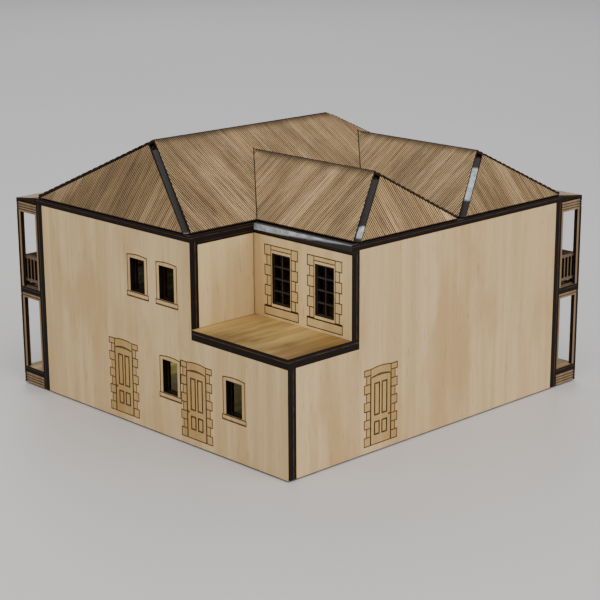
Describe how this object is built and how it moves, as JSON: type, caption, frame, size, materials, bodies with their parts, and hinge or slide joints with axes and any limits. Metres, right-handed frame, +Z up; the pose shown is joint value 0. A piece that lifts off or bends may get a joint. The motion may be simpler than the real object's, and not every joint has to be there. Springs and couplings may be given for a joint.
{
  "type": "tabletop terrain building",
  "caption": "Two-storey corner house for tabletop games, built from laser-cut plywood sheets, with a corner roof terrace, a two-storey veranda and a lift-off hipped roof.",
  "frame": {"origin": "centre of the footprint's bounding box, at table level", "axes": "+X along the right-hand side wall (longest side) towards the street veranda, +Y along the left-hand side wall towards the other street veranda, +Z up"},
  "size_m": [0.1276, 0.1234, 0.0829],
  "materials": {
    "wall_ply": "bare pale plywood with laser-engraved brown lines",
    "floor_ply": "bare ochre-brown plywood with charred cut edges",
    "roof_ply": "plywood engraved with close dark corrugation lines",
    "charred_ply": "laser-charred plywood, slightly glossy",
    "dark_ply": "thin laser-cut plywood, scorched brown"
  },
  "bodies": {
    "house": {"ground_floor_plate": "wall_ply", "left_wall": "wall_ply", "right_wall": "wall_ply", "street_wall_left": "wall_ply", "street_wall_right": "wall_ply", "terrace_plain_wall": "wall_ply", "terrace_window_wall": "wall_ply", "first_floor_plate": "floor_ply", "terrace_sash_inner": "dark_ply", "terrace_sash_outer": "dark_ply", "street_sashes_left": "dark_ply", "street_sashes_right": "dark_ply", "veranda_deck": "floor_ply", "balcony_floor": "floor_ply", "skirt_left": "wall_ply", "skirt_right": "wall_ply", "skirt_end_left": "wall_ply", "skirt_end_right": "wall_ply", "lower_frame_left": "wall_ply", "lower_frame_right": "wall_ply", "lower_end_frame_left": "wall_ply", "lower_end_frame_right": "wall_ply", "upper_frame_left": "wall_ply", "upper_frame_right": "wall_ply", "upper_end_frame_left": "wall_ply", "upper_end_frame_right": "wall_ply", "railing_left": "dark_ply", "railing_right": "dark_ply", "railing_end_left": "dark_ply", "railing_end_right": "dark_ply", "veranda_roof_left": "wall_ply", "veranda_roof_right": "wall_ply"},
    "roof": {"roof_base_plate": "charred_ply", "roof_locating_plate": "charred_ply", "ridge_former_main": "wall_ply", "ridge_former_middle": "wall_ply", "ridge_former_right": "wall_ply", "hip_rafters_main": "charred_ply", "hip_rafters_middle": "charred_ply", "hip_rafters_right": "charred_ply", "main_skin_front": "roof_ply", "main_skin_rear": "roof_ply", "main_hip_skin_left": "roof_ply", "main_hip_skin_right": "roof_ply", "middle_skin_left": "roof_ply", "middle_skin_right": "roof_ply", "middle_hip_skin": "roof_ply", "right_skin_left": "roof_ply", "right_skin_right": "roof_ply", "right_hip_skin": "roof_ply"}
  },
  "joints": [
    {"name": "roof_lift", "type": "slide", "parent": "house", "child": "roof", "axis": [0, 0, 1], "range_m": [0, 0.04]}
  ]
}
